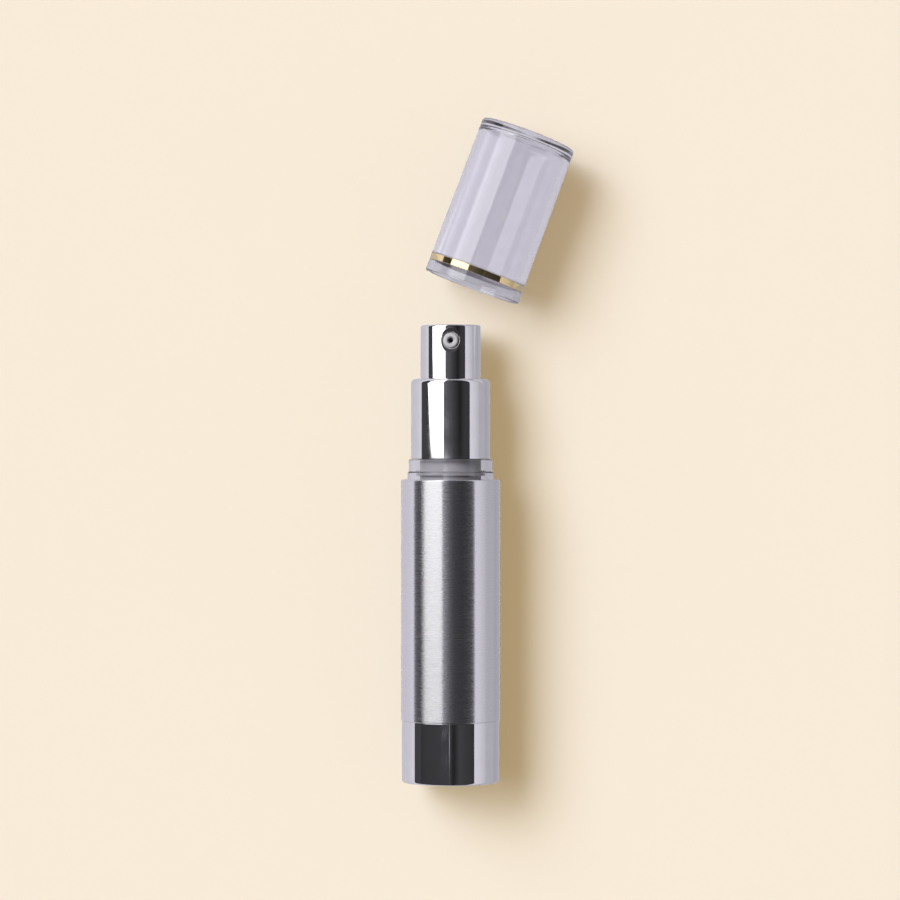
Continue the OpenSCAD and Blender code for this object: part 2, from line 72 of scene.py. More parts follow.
def noise(tree, size, stretch=(1, 1, 1), detail=2.0, turn=0.0):
    """Noise from 0 to 1 with spots of about size metres, each longer by stretch along x, y and z. The
    places are first turned about z by turn, in radians."""
    where = put(tree, "TexCoord", {}).outputs["Object"]
    scale = tuple(1 / (size * s) for s in stretch)
    if turn:
        where = put(tree, "Mapping", {"Vector": where, "Rotation": (0, 0, turn)}).outputs["Vector"]
    spots = put(tree, "Mapping", {"Vector": where, "Scale": scale}).outputs["Vector"]
    return put(tree, "TexNoise", {"Vector": spots, "Scale": 1.0, "Detail": detail}).outputs["Fac"]


def between(tree, amount, low, high):
    """Brings noise, which keeps mostly to 0.3 to 0.7, to the range from low to high."""
    feeds = {"Value": amount, "From Min": 0.3, "From Max": 0.7, "To Min": low, "To Max": high}
    return put(tree, "MapRange", feeds).outputs["Result"]


def shades(tree, amount, dark, light):
    """A colour between dark and light, by noise."""
    mix = put(tree, "Mix", {"Factor": between(tree, amount, 0.0, 1.0)}, data_type="RGBA")
    mix.inputs[6].default_value = (*dark, 1)
    mix.inputs[7].default_value = (*light, 1)
    return mix.outputs[2]


def relief(tree, amount, depth, under=None):
    """A bump of that depth in metres, from noise, on top of another bump where one is given."""
    feeds = {"Height": amount, "Distance": depth, "Strength": 1.0}
    if under is not None:
        feeds["Normal"] = under
    return put(tree, "Bump", feeds).outputs["Normal"]


def moulded_plastic(name, dark, light, rough, grain, depth, soft=0.0):
    """Moulded plastic: cloudy colour, roughness that drifts, and a fine grain over a slow wave."""
    finish, tree, shader = new_finish(name)
    link = tree.links.new
    cloud_size, drift_size, wave_size = 0.006, 0.002, 0.005
    link(shades(tree, noise(tree, cloud_size), dark, light), shader.inputs["Base Color"])
    link(between(tree, noise(tree, drift_size), *rough), shader.inputs["Roughness"])
    wave = relief(tree, noise(tree, wave_size), depth * 4)
    link(relief(tree, noise(tree, grain, detail=4), depth, wave), shader.inputs["Normal"])
    shader.inputs["IOR"].default_value = 1.49
    shader.inputs["Subsurface Weight"].default_value = soft
    shader.inputs["Subsurface Radius"].default_value = (0.0016, 0.0014, 0.0015)
    shader.inputs["Subsurface Scale"].default_value = 1.0
    return finish


def dress(nodes, finish):
    """Gives CAD nodes that show as they are a finish."""
    for node in nodes:
        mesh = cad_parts[node].data
        mesh.materials.clear()
        mesh.materials.append(finish)


milky_plastic = moulded_plastic(
    "milky_plastic", dark=(0.80, 0.80, 0.83), light=(0.86, 0.86, 0.88),
    rough=(0.25, 0.4), grain=0.0003, depth=2e-6, soft=0.5,
)
dress(["inner_bottle"], milky_plastic)
white_plastic = moulded_plastic(
    "white_plastic", dark=(0.82, 0.82, 0.83), light=(0.88, 0.88, 0.89),
    rough=(0.22, 0.38), grain=0.0002, depth=2e-6, soft=0.15,
)
dress(["bottom_plug"], white_plastic)

# ---- Follower ----
# The follower is moulded in soft polyethylene, with a sealing lip at each end of its wall.
# It slides up the bottle as the product is used up, so it is held by its lips alone.

soft_plastic = moulded_plastic(
    "soft_plastic", dark=(0.72, 0.73, 0.76), light=(0.80, 0.81, 0.83),
    rough=(0.35, 0.5), grain=0.00025, depth=3e-6, soft=0.35,
)
dress(["follower_piston"], soft_plastic)

# ---- Gasket ----
# A flat ring is cut from a sheet of grey rubber and lies on the neck's rim. The pump's flange
# presses it down when the screw cap is tightened.

grey_rubber = moulded_plastic(
    "grey_rubber", dark=(0.07, 0.07, 0.075), light=(0.11, 0.11, 0.115),
    rough=(0.6, 0.85), grain=0.00008, depth=5e-6,
)
dress(["neck_gasket"], grey_rubber)

# ---- Pump ----
# The barrel, its lid, the ball's cage, the hollow stem and its plug are moulded in white plastic,
# and snapped or pressed together. The piston between them is soft polyethylene.

dress(["pump_housing", "housing_lid", "ball_cage", "stem", "stem_plug"], white_plastic)
dress(["piston_seal"], soft_plastic)

# ---- Spring and ball ----
# The spring is wound from drawn stainless wire and stands round the stem. In the real pump it shortens
# while the button is pressed; here it is built at its rest length. The inlet valve's ball is ground from
# the same steel.


def steel_finish():
    """Drawn steel: fine lines round the wire, with a thin change of tone along them."""
    finish, tree, shader = new_finish("drawn_steel")
    link = tree.links.new
    lines = noise(tree, 0.0001, stretch=(1, 8, 1), detail=3)
    tone = noise(tree, 0.0015)
    link(shades(tree, tone, (0.50, 0.50, 0.52), (0.62, 0.62, 0.64)), shader.inputs["Base Color"])
    link(between(tree, lines, 0.18, 0.34), shader.inputs["Roughness"])
    link(relief(tree, lines, 1e-6), shader.inputs["Normal"])
    shader.inputs["Metallic"].default_value = 1.0
    return finish


MM = 0.001
UPRIGHT = np.eye(4)


def mesh_piece(name, grids, finishes, place=UPRIGHT):
    """A piece from grids of points in millimetres. Each grid is (points, faces as rows of four numbers, map
    places of the faces' corners). Points within 0.1 micrometre become one, and a face that loses a side
    by it becomes a triangle, so seams and poles are closed. There is one finish for each grid, or one
    for all of them."""
    finishes = finishes if isinstance(finishes, list) else [finishes] * len(grids)
    kinds = list(dict.fromkeys(finishes))
    wears = np.repeat([kinds.index(f) for f in finishes], [len(g[1]) for g in grids])
    points = np.vstack([g[0] for g in grids])
    shifts = np.cumsum([0] + [len(g[0]) for g in grids[:-1]])
    faces = np.vstack([g[1] + s for g, s in zip(grids, shifts)])
    places = np.vstack([g[2] for g in grids])
    steps_per_mm = 10000
    spots = np.round(points * steps_per_mm).astype(np.int64)
    _, first, same = np.unique(spots, axis=0, return_index=True, return_inverse=True)
    faces = same.reshape(-1)[faces]
    kept = faces != np.roll(faces, 1, axis=1)
    fours, threes = kept.all(1), kept.sum(1) == 3
    tris = faces[threes][kept[threes]].reshape(-1, 3)
    world = points[first] @ place[:3, :3].T + place[:3, 3]
    mesh = bpy.data.meshes.new(name)
    mesh.from_pydata((world * MM).tolist(), [], faces[fours].tolist() + tris.tolist())
    chart = mesh.uv_layers.new(name="along_and_round")
    corners = np.vstack([places[fours].reshape(-1, 2), places[threes][kept[threes]]])
    chart.data.foreach_set("uv", corners.astype(np.float32).ravel())
    mesh.polygons.foreach_set("use_smooth", np.ones(len(mesh.polygons), bool))
    wears = np.concatenate([wears[fours], wears[threes]]).astype(np.int32)
    mesh.polygons.foreach_set("material_index", wears)
    for kind in kinds:
        mesh.materials.append(kind)
    mesh.validate()
    piece = bpy.data.objects.new(name, mesh)
    bpy.context.scene.collection.objects.link(piece)
    return piece


def grid_faces(points, along, across):
    """The faces of a grid of points, with the map place (along, across) at each of its corners."""
    rows, columns = points.shape[:2]
    i, j = np.meshgrid(np.arange(rows - 1), np.arange(columns - 1), indexing="ij")
    corners = [(i, j), (i, j + 1), (i + 1, j + 1), (i + 1, j)]
    faces = np.stack([m * columns + n for m, n in corners], -1).reshape(-1, 4)
    places = np.stack([np.stack([along[m] * MM, across[n]], -1) for m, n in corners], 2)
    return points.reshape(-1, 3), faces, places.reshape(-1, 4, 2)


def coil(turns, coil_r, wire_r, foot, rise, flat, steps=60, around=20):
    """A spring's wire, in millimetres. After t turns, the point at the angle b round the wire goes to
    (r cos a, y, -r sin a), where a = 2 pi t, r = coil_r + wire_r cos b and
    y = foot + height(t) + wire_r sin b. The height grows by flat in the first and in the last turn, and
    evenly between them. The wire's ends are closed by flat discs with a slightly broken edge."""
    t = np.linspace(0, turns, int(turns * steps) + 1)
    disc = 0.96
    size = np.concatenate([[0, disc], np.ones(len(t)), [disc, 0]]) * wire_r
    t = np.concatenate([[0, 0], t, [turns, turns]])
    b = np.linspace(2 * math.pi, 0, around + 1)
    a = 2 * math.pi * t[:, None]
    r = coil_r + np.outer(size, np.cos(b))
    height = np.interp(t, [0, 1, turns - 1, turns], [0, flat, rise - flat, rise])
    y = foot + height[:, None] + np.outer(size, np.sin(b))
    points = np.stack([r * np.cos(a), y, -r * np.sin(a)], -1)
    points[:, -1] = points[:, 0]
    return grid_faces(points, t * 2 * math.pi * coil_r, b)


drawn_steel = steel_finish()
dress(["inlet_ball"], drawn_steel)
spring_foot, spring_length, stroke = 87.6, 9.4, 4.5
coils, coil_r, wire_r, end_gap = 6, 3.6, 0.35, 0.1
wire_foot, wire_rise = spring_foot + end_gap / 2 + wire_r, spring_length - 2 * wire_r - end_gap
coiled_wire = coil(coils, coil_r, wire_r, wire_foot, wire_rise, 2 * wire_r + end_gap)
spring = mesh_piece("coil_spring", [coiled_wire], drawn_steel)
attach(spring, "pump")
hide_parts("return_spring")
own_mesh(spring)

# ---- Screw cap and the button's core ----
# Both are moulded in white plastic: the screw cap clamps the pump on the neck, and the core
# carries the stem's socket and the channel that leads to the nozzle.

dress(["screw_cap", "actuator_core"], white_plastic)

# ---- Collar ----
# The screw cap wears a drawn aluminium cover, polished to a mirror and pressed on. Its upper
# edge is rounded, and its round opening lets the button move.


def rounded(corners, edges, steps=6, hold=0.02):
    """An outline whose corners are rounded, in millimetres. A corner is left at radius / tan(half its
    inner angle) on both sides, and an arc about the point on its bisector joins the two places. One more
    point stands just before and after each arc, so that the flat faces keep their shading. The first and
    the last point of the outline stay as they are."""
    p = np.asarray(corners, float)
    here, radius = p[1:-1], np.asarray(edges, float)[:, None]
    back, ahead = p[:-2] - here, p[2:] - here
    back /= np.linalg.norm(back, axis=1, keepdims=True)
    ahead /= np.linalg.norm(ahead, axis=1, keepdims=True)
    half = np.arccos(np.clip((back * ahead).sum(1, keepdims=True), -1, 1)) / 2
    reach = radius / np.tan(half)
    middle = (back + ahead) / np.linalg.norm(back + ahead, axis=1, keepdims=True) * radius / np.sin(half)
    start, end = back * reach - middle, ahead * reach - middle
    turn = (math.pi - 2 * half)[:, :, None]
    t = np.linspace(0, 1, steps + 1)[None, :, None]
    arcs = (np.sin((1 - t) * turn) * start[:, None] + np.sin(t * turn) * end[:, None]) / np.sin(turn)
    arcs += (here + middle)[:, None]
    before = (here + back * (reach + hold))[:, None]
    after = (here + ahead * (reach + hold))[:, None]
    inner = np.concatenate([before, arcs, after], axis=1).reshape(-1, 2)
    return np.vstack([p[:1], inner, p[-1:]])


def ring_outline(corners, edges, steps=6):
    """A closed outline, rounded at every corner: it is rounded as an open one that starts half-way along
    its last side."""
    p = np.asarray(corners, float)
    start = (p[-1:] + p[:1]) / 2
    return rounded(np.vstack([start, p, start]), edges, steps)


def turned(outline, around=240):
    """A surface of revolution: a point (radius, height) of the outline goes to
    (radius sin a, height, radius cos a) for each angle a, so the seam is at the front and the faces look
    to the outline's right-hand side."""
    r, h = outline.T
    a = np.linspace(0, 2 * math.pi, around + 1)
    points = np.stack([np.outer(r, np.sin(a)), np.outer(h, np.ones_like(a)), np.outer(r, np.cos(a))], -1)
    points[:, -1] = points[:, 0]
    run = np.concatenate([[0], np.cumsum(np.linalg.norm(np.diff(outline, axis=0), axis=1))])
    return grid_faces(points, run, a)


def polished_metal_finish():
    """Polished aluminium: a mirror with a faint wave from drawing, thin buffing lines and dull patches."""
    finish, tree, shader = new_finish("polished_metal")
    link = tree.links.new
    dull = noise(tree, 0.004, detail=5)
    lines = noise(tree, 0.00007, stretch=(30, 1, 30), detail=3)
    link(shades(tree, dull, (0.865, 0.86, 0.875), (0.91, 0.905, 0.92)), shader.inputs["Base Color"])
    link(between(tree, dull, 0.035, 0.075), shader.inputs["Roughness"])
    wave = relief(tree, noise(tree, 0.003, stretch=(1, 4, 1), detail=1), 1.2e-6)
    link(relief(tree, lines, 6e-8, wave), shader.inputs["Normal"])
    shader.inputs["Metallic"].default_value = 1.0
    return finish


polished_metal = polished_metal_finish()
collar_r, collar_wall, collar_foot, collar_top = 9.55, 0.4, 78.2, 97.6
opening_r, collar_top_t = 7.47, 0.6
bore = collar_r - collar_wall
outline = ring_outline(
    [(bore, collar_foot), (collar_r, collar_foot), (collar_r, collar_top), (opening_r, collar_top),
     (opening_r, collar_top - collar_top_t), (bore, collar_top - collar_top_t)],
    [0.08, 0.15, 1.1, 0.2, 0.1, 0.2],
)
collar = mesh_piece("collar_cover", [turned(outline)], polished_metal)
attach(collar, "collar")
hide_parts("collar_shell")

# ---- Button ----
# The button's cover is drawn from the same aluminium and polished. A shallow hollow is pressed
# across its side, and the nozzle's hole is punched through the middle of it.

head_r, head_bore, head_foot, head_top, head_top_t = 7.27, 6.47, 93.4, 110.6, 0.6
nozzle_y, hole_r, hollow_z, hollow_reach = 106.8, 2.11, 6.89, 3.0
window_low, window_high, window_columns, around = 103.75, 109.85, 34, 240


def pierced(columns, rows):
    """The button's wall round the nozzle, as rings of points. The outer ring is the edge of a square window
    in the turned wall. The next rings close in on the rim of the hollow, where its floor
    z = hollow_z + bend y^2 cuts the wall x^2 + z^2 = head_r^2: along a direction with x = r c and y = r s
    the rim is at the r for which both are equal. Within it the rings follow the floor to the nozzle's
    hole, go through the hole, and open again to the window in the inner wall."""
    right, left = np.full(len(rows) - 1, columns[-1]), np.full(len(rows) - 1, columns[0])
    low, high = np.full(len(columns) - 1, rows[0]), np.full(len(columns) - 1, rows[-1])
    x_angle = np.concatenate([columns[:-1], right, columns[:0:-1], left, columns[:1]])
    y = np.concatenate([low, rows[:-1], high, rows[:0:-1], rows[:1]])
    x = head_r * np.sin(x_angle)
    turn = np.arctan2(y - nozzle_y, x)
    circle = np.stack([np.cos(turn), np.sin(turn)], -1)
    edge = np.stack([x, y - nozzle_y], -1)
    lip, hold, past_rim, short_of_rim = 0.07, 0.02, 1.012, 0.99
    bend = (head_r - hollow_z) / hollow_reach**2
    depth = head_r**2 - hollow_z**2
    bow = bend * circle[:, 1] ** 2
    lean = 2 * hollow_z * bow + circle[:, 0] ** 2
    rim = circle * np.sqrt(2 * depth / (lean + np.sqrt(lean**2 + 4 * bow**2 * depth)))[:, None]
    outside = [(1 - s) * edge + s * rim * past_rim for s in (0, 0.3, 0.6, 0.85, 1)]
    inside = [(1 - s) * rim * short_of_rim + s * circle * (hole_r + lip) for s in np.linspace(0, 1, 14)]
    rings = []

    def ring(flat, z):
        """One more ring, through the places flat across the button's side and at the height z."""
        rings.append(np.column_stack([flat[:, 0], flat[:, 1] + nozzle_y, z]))

    for flat in outside + inside:
        wall = np.sqrt(head_r**2 - flat[:, 0] ** 2)
        floor = hollow_z + bend * flat[:, 1] ** 2
        ring(flat, np.minimum(wall, floor))
    brink = rings[-1][:, 2]
    for t in np.linspace(0, math.pi / 2, 5)[1:]:
        ring(circle * (hole_r + lip * (1 - math.sin(t))), brink - lip * (1 - math.cos(t)))
    hole = circle * hole_r
    inner_wall = np.sqrt(head_bore**2 - hole[:, 0] ** 2)
    for z in (rings[-1][:, 2] - hold, inner_wall + hold, inner_wall):
        ring(hole, z)
    inner_edge = np.stack([head_bore * np.sin(x_angle), y - nozzle_y], -1)
    for s in np.linspace(0, 1, 9)[1:]:
        flat = (1 - s) * hole + s * inner_edge
        ring(flat, np.sqrt(head_bore**2 - flat[:, 0] ** 2))
    points = np.array(rings)
    return grid_faces(points, np.linspace(0, 12, len(points)), np.linspace(0, 1, points.shape[1]))


def with_rows(outline, radius, rows):
    """The outline with more points on its long straight side at that radius, at the heights given."""
    on_wall, long_side = np.abs(outline[:, 0] - radius) < 1e-6, np.abs(np.diff(outline[:, 1])) > 5
    i = np.flatnonzero(on_wall[:-1] & on_wall[1:] & long_side)[0]
    up = outline[i + 1, 1] > outline[i, 1]
    more = np.column_stack([np.full(len(rows), radius), rows if up else rows[::-1]])
    return np.insert(outline, i + 1, more, axis=0)


outline = rounded(
    [(0, head_top - head_top_t), (head_bore, head_top - head_top_t), (head_bore, head_foot),
     (head_r, head_foot), (head_r, head_top), (0, head_top)],
    [0.08, 0.2, 0.2, 0.45],
)
rows = np.linspace(window_low, window_high, window_columns + 1)
outline = with_rows(with_rows(outline, head_bore, rows), head_r, rows)
wall_points, wall_faces, wall_places = turned(outline, around)
middle = wall_points[wall_faces].mean(1)
middle_r, middle_a = np.hypot(middle[:, 0], middle[:, 2]), np.arctan2(middle[:, 0], middle[:, 2])
step = 2 * math.pi / around
columns = (np.arange(window_columns + 1) - window_columns // 2) * step
in_window = (np.abs(middle_a) < columns[-1]) & (np.abs(middle[:, 1] - nozzle_y) < window_high - nozzle_y)
keep = ~(in_window & (middle_r > head_bore - 0.01))
button = mesh_piece(
    "button_cover",
    [(wall_points, wall_faces[keep], wall_places[keep]), pierced(columns, rows)],
    polished_metal,
)
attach(button, "actuator")
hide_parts("actuator_shell")

# ---- Nozzle ----
# A white plug with a raised face, moulded in acetal, is pushed into the button's boss from outside.
# The product leaves by the wide orifice in its middle.

face_z, rim_z, back_z = 7.0, 6.3, 4.2
nozzle_r, face_r, orifice_r, channel_r, orifice_floor = 2.05, 1.78, 0.86, 0.6, 5.6
outline = ring_outline(
    [(channel_r, back_z), (nozzle_r, back_z), (nozzle_r, rim_z), (face_r, rim_z), (face_r, face_z),
     (orifice_r, face_z), (orifice_r, orifice_floor), (channel_r, orifice_floor)],
    [0.05, 0.1, 0.1, 0.08, 0.36, 0.16, 0.03, 0.03],
)
facing_up = np.array([[1, 0, 0, 0], [0, 0, -1, nozzle_y], [0, 1, 0, 0], [0, 0, 0, 1]], float)
nozzle_plastic = moulded_plastic(
    "nozzle_plastic", dark=(0.74, 0.73, 0.79), light=(0.82, 0.81, 0.86),
    rough=(0.18, 0.3), grain=0.00015, depth=1.5e-6, soft=0.1,
)
nozzle = mesh_piece("nozzle", [turned(outline, around=96)], nozzle_plastic, facing_up)
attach(nozzle, "actuator")
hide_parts("nozzle_insert")

# ---- Clear ring ----
# Under the collar sits a ring of clear SAN plastic in two tiers. The overcap's mouth fits over
# it, and the sleeve's turned-in edge holds its foot down on the bottle's shoulder.


def lamps_pass(tree, shader, colour):
    """Lets lamps shine through clear plastic: their rays meet a Transparent shader of that colour."""
    clear = put(tree, "BsdfTransparent", {"Color": (*colour, 1)})
    lamp_ray = put(tree, "LightPath", {}).outputs["Is Shadow Ray"]
    mix = put(tree, "MixShader", {0: lamp_ray, 1: shader.outputs["BSDF"], 2: clear.outputs["BSDF"]})
    tree.links.new(mix.outputs["Shader"], tree.nodes["Material Output"].inputs["Surface"])


def clear_plastic_finish(name, lamp_tint, bends=1.57):
    """Clear SAN plastic: a faint lilac cast, fine haze from handling and the slow wave of a moulded
    surface. Its refractive index is bends, and a lamp's light comes through it tinted by lamp_tint."""
    finish, tree, shader = new_finish(name)
    link = tree.links.new
    haze = noise(tree, 0.003, detail=5)
    link(shades(tree, haze, (0.975, 0.97, 0.99), (0.995, 0.99, 1.0)), shader.inputs["Base Color"])
    link(between(tree, haze, 0.0, 0.035), shader.inputs["Roughness"])
    wave = relief(tree, noise(tree, 0.004, detail=1), 2e-6)
    link(relief(tree, noise(tree, 0.0004, detail=3), 1.2e-7, wave), shader.inputs["Normal"])
    shader.inputs["IOR"].default_value = bends
    shader.inputs["Transmission Weight"].default_value = 1.0
    lamps_pass(tree, shader, lamp_tint)
    return finish


ring_plastic = clear_plastic_finish("ring_plastic", (0.76, 0.75, 0.77))
ring_bore, ring_foot_r, ring_low_r, ring_high_r = 8.5, 11.45, 10.45, 10.15
foot_low, foot_high, tier_y, ring_top = 70.4, 72.7, 75.1, 78.1
outline = ring_outline(
    [(ring_bore, foot_low), (ring_foot_r, foot_low), (ring_foot_r, foot_high), (ring_low_r, foot_high),
     (ring_low_r, tier_y), (ring_high_r, tier_y), (ring_high_r, ring_top), (ring_bore, ring_top)],
    [0.1, 0.1, 0.1, 0.1, 0.4, 0.12, 0.3, 0.15],
    steps=8,
)
clear_ring = mesh_piece("clear_ring", [turned(outline)], ring_plastic)
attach(clear_ring, "bottle")
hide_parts("shoulder_ring")

# ---- Sleeve ----
# The body is a drawn aluminium tube, brushed round while it turns, so the fine lines run round
# it and light spreads along it. Its upper edge is turned in over the clear ring's foot.


def brushed_metal_finish():
    """Brushed aluminium: lines round the tube of two widths, and a wide sheen along it."""
    finish, tree, shader = new_finish("brushed_metal")
    link = tree.links.new
    fine = noise(tree, 0.00006, stretch=(60, 1, 60), detail=3)
    broad = noise(tree, 0.0006, stretch=(14, 1, 14), detail=4)
    both = put(tree, "Math", {0: fine, 1: broad}, operation="ADD").outputs["Value"]
    lines = put(tree, "Math", {0: both, 1: 0.5}, operation="MULTIPLY").outputs["Value"]
    link(shades(tree, lines, (0.84, 0.835, 0.86), (0.93, 0.925, 0.945)), shader.inputs["Base Color"])
    link(between(tree, lines, 0.22, 0.31), shader.inputs["Roughness"])
    link(relief(tree, broad, 3e-7, relief(tree, fine, 1.3e-6)), shader.inputs["Normal"])
    way = put(tree, "Tangent", {}, direction_type="UV_MAP", uv_map="along_and_round")
    link(way.outputs["Tangent"], shader.inputs["Tangent"])
    shader.inputs["Metallic"].default_value = 1.0
    shader.inputs["Anisotropic"].default_value = 1.0
    return finish


brushed_metal = brushed_metal_finish()
sleeve_r, sleeve_wall, sleeve_foot, sleeve_top, turned_in_r = 12.0, 0.4, 15.0, 73.2, 10.51
bore = sleeve_r - sleeve_wall
outline = ring_outline(
    [(bore, sleeve_foot), (sleeve_r, sleeve_foot), (sleeve_r, sleeve_top), (turned_in_r, sleeve_top),
     (turned_in_r, sleeve_top - sleeve_wall), (bore, sleeve_top - sleeve_wall)],
    [0.06, 0.1, 0.35, 0.12, 0.1, 0.1],
)
sleeve = mesh_piece("sleeve", [turned(outline)], brushed_metal)
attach(sleeve, "bottle")
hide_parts("body_sleeve")

# ---- Base cup ----
# The foot is a polished aluminium cup. The sleeve is pushed over its spigot, and a small hole
# in its floor lets air in below the follower.

cup_r, cup_edge, cup_top, spigot_r, spigot_top = 11.8, 0.6, 15.0, 11.54, 19.5
cup_bore, cup_floor, vent_r, vent_x = 11.05, 1.2, 0.5, 4.0
foot_disc_r, floor_disc_r = 11.0, 10.5
round_angles = np.linspace(0, 2 * math.pi, around + 1)


def vented_disc(r, y, facing):
    """A flat disc with the round vent through it, as rings from the disc's edge to the vent's: each ring is
    the edge circle brought towards the vent's circle in even steps. It faces up the bottle where facing is
    1, and down where it is -1."""
    a = round_angles
    edge = np.stack([r * np.sin(a), r * np.cos(a)], -1)
    vent = np.stack([vent_x + vent_r * np.sin(a), vent_r * np.cos(a)], -1)
    s = np.linspace(0, 1, 9)[:, None, None]
    flat = (1 - s) * edge + s * vent
    points = np.stack([flat[..., 0], np.full(flat.shape[:2], y), flat[..., 1]], -1)
    points[:, -1] = points[:, 0]
    return grid_faces(points if facing > 0 else points[::-1], s.ravel() * r, a)


outline = rounded(
    [(foot_disc_r, 0), (cup_r, 0), (cup_r, cup_top), (spigot_r, cup_top), (spigot_r, spigot_top),
     (cup_bore, spigot_top), (cup_bore, cup_floor), (floor_disc_r, cup_floor)],
    [cup_edge, 0.2, 0.05, 0.1, 0.1, 0.3],
)
vent_ends = np.array([0, cup_floor])
vent_wall = np.stack([
    np.tile(vent_x + vent_r * np.sin(round_angles), (2, 1)),
    np.outer(vent_ends, np.ones_like(round_angles)),
    np.tile(vent_r * np.cos(round_angles), (2, 1)),
], -1)
vent_wall[:, -1] = vent_wall[:, 0]
base = mesh_piece(
    "base_cover",
    [turned(outline), vented_disc(foot_disc_r, 0, facing=-1),
     vented_disc(floor_disc_r, cup_floor, facing=1), grid_faces(vent_wall[::-1], vent_ends, round_angles)],
    polished_metal,
)
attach(base, "bottle")
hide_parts("base_cup")

# ---- Overcap shell ----
# The overcap's outer part is moulded in clear SAN, with a thick mouth that slides over the clear
# ring and a groove for the gold ring. The liner is pressed in so tightly that no air shows between.

cap_turn, cap_place = math.radians(20.5), (5.1, 119.9, -0.05)
cap_lean = np.array([
    [math.cos(cap_turn), math.sin(cap_turn), 0],
    [-math.sin(cap_turn), math.cos(cap_turn), 0],
    [0, 0, 1],
])
laid_aside = np.eye(4)
laid_aside[:3, :3] = cap_lean
laid_aside[:3, 3] = cap_place
cap_r, cap_end_r, cap_length, mouth_r, mouth_depth = 11.95, 11.75, 39.5, 10.6, 4.6
cap_bore, cap_top_t, groove_low, groove_high, groove_t = 10.95, 1.1, 2.8, 4.4, 0.35
outline = rounded(
    [(0, cap_length - cap_top_t), (cap_bore, cap_length - cap_top_t), (cap_bore, mouth_depth),
     (mouth_r, mouth_depth), (mouth_r, 0), (cap_r, 0), (cap_r, groove_low),
     (cap_r - groove_t, groove_low), (cap_r - groove_t, groove_high), (cap_r, groove_high),
     (cap_end_r, cap_length), (0, cap_length)],
    [0.15, 0.05, 0.05, 0.3, 0.35, 0.03, 0.03, 0.03, 0.03, 0.7],
    steps=8,
)
clear_plastic = clear_plastic_finish("clear_plastic", (0.95, 0.94, 0.96))
# The shell's bore lies on the liner, so light goes from one to the other without a bend.
joined_plastic = clear_plastic_finish("joined_plastic", (0.98, 0.98, 0.98), bends=1.0)
on_bore = (np.abs(outline[:, 0] - cap_bore) < 1e-6) & (outline[:, 1] > mouth_depth)
bore_end = np.flatnonzero(on_bore)[-1]
cap = mesh_piece(
    "overcap_shell",
    [turned(outline[: bore_end + 1]), turned(outline[bore_end:])],
    [joined_plastic, clear_plastic],
    laid_aside,
)
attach(cap, "overcap")
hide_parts("cap_shell")

# ---- Overcap liner ----
# A milky cup of polypropylene is pressed into the shell above its mouth. Its rounded end shows
# through the clear plastic as a soft line.

liner_r, liner_bore, liner_top, liner_top_t, liner_edge = 10.92, 10.27, 38.37, 0.6, 2.0
outline = rounded(
    [(0, liner_top - liner_top_t), (liner_bore, liner_top - liner_top_t), (liner_bore, mouth_depth),
     (liner_r, mouth_depth), (liner_r, liner_top), (0, liner_top)],
    [liner_edge - (liner_r - liner_bore), 0.1, 0.1, liner_edge],
    steps=12,
)


def liner_plastic_finish(name, bends):
    """Milky polypropylene: mostly see-through, with a lilac cast and a cloud that scatters some light."""
    finish, tree, shader = new_finish(name)
    link = tree.links.new
    cloud = noise(tree, 0.004, detail=4)
    link(shades(tree, cloud, (0.93, 0.915, 0.95), (0.97, 0.955, 0.985)), shader.inputs["Base Color"])
    link(between(tree, cloud, 0.03, 0.08), shader.inputs["Roughness"])
    link(relief(tree, noise(tree, 0.0003, detail=4), 3e-7), shader.inputs["Normal"])
    shader.inputs["IOR"].default_value = bends
    shader.inputs["Transmission Weight"].default_value = 0.985
    lamps_pass(tree, shader, (0.55, 0.53, 0.57))
    return finish


liner_plastic = liner_plastic_finish("liner_plastic", 1.57)
# The liner's outer wall lies in the shell's bore. Only the shell's faces count there, and the liner's
# let everything through.
liner_joined = liner_plastic_finish("liner_joined", 1.0)
liner_joined.node_tree.nodes["Principled BSDF"].inputs["Alpha"].default_value = 0.0
wall_start = np.flatnonzero(outline[:, 0] > liner_r - 1e-6)[0]
liner = mesh_piece(
    "overcap_liner",
    [turned(outline[: wall_start + 1]), turned(outline[wall_start:])],
    [liner_plastic, liner_joined],
    laid_aside,
)
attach(liner, "overcap")
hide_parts("cap_liner")

# ---- Gold ring ----
# A thin band of aluminium, polished and anodised gold on its outer side, is rolled into the
# shell's groove and lies flush with the shell.


def gold_metal_finish():
    """Gold-anodised aluminium: a mirror with lengthwise buffing lines and a slight change of tone."""
    finish, tree, shader = new_finish("gold_metal")
    link = tree.links.new
    tone = noise(tree, 0.002, detail=4)
    link(shades(tree, tone, (0.92, 0.73, 0.37), (0.97, 0.79, 0.44)), shader.inputs["Base Color"])
    link(between(tree, tone, 0.05, 0.11), shader.inputs["Roughness"])
    wave = noise(tree, 0.0008, stretch=(3, 1, 3), turn=-cap_turn)
    link(relief(tree, wave, 5e-7), shader.inputs["Normal"])
    shader.inputs["Metallic"].default_value = 1.0
    return finish


def bare_metal_finish():
    """Bare aluminium sheet: matt, with rolling marks, as on the ring's inner side."""
    finish, tree, shader = new_finish("bare_metal")
    link = tree.links.new
    marks = noise(tree, 0.0005, stretch=(4, 1, 4), detail=3)
    link(shades(tree, marks, (0.78, 0.76, 0.80), (0.86, 0.84, 0.88)), shader.inputs["Base Color"])
    link(between(tree, marks, 0.5, 0.7), shader.inputs["Roughness"])
    link(relief(tree, marks, 1e-6), shader.inputs["Normal"])
    return finish


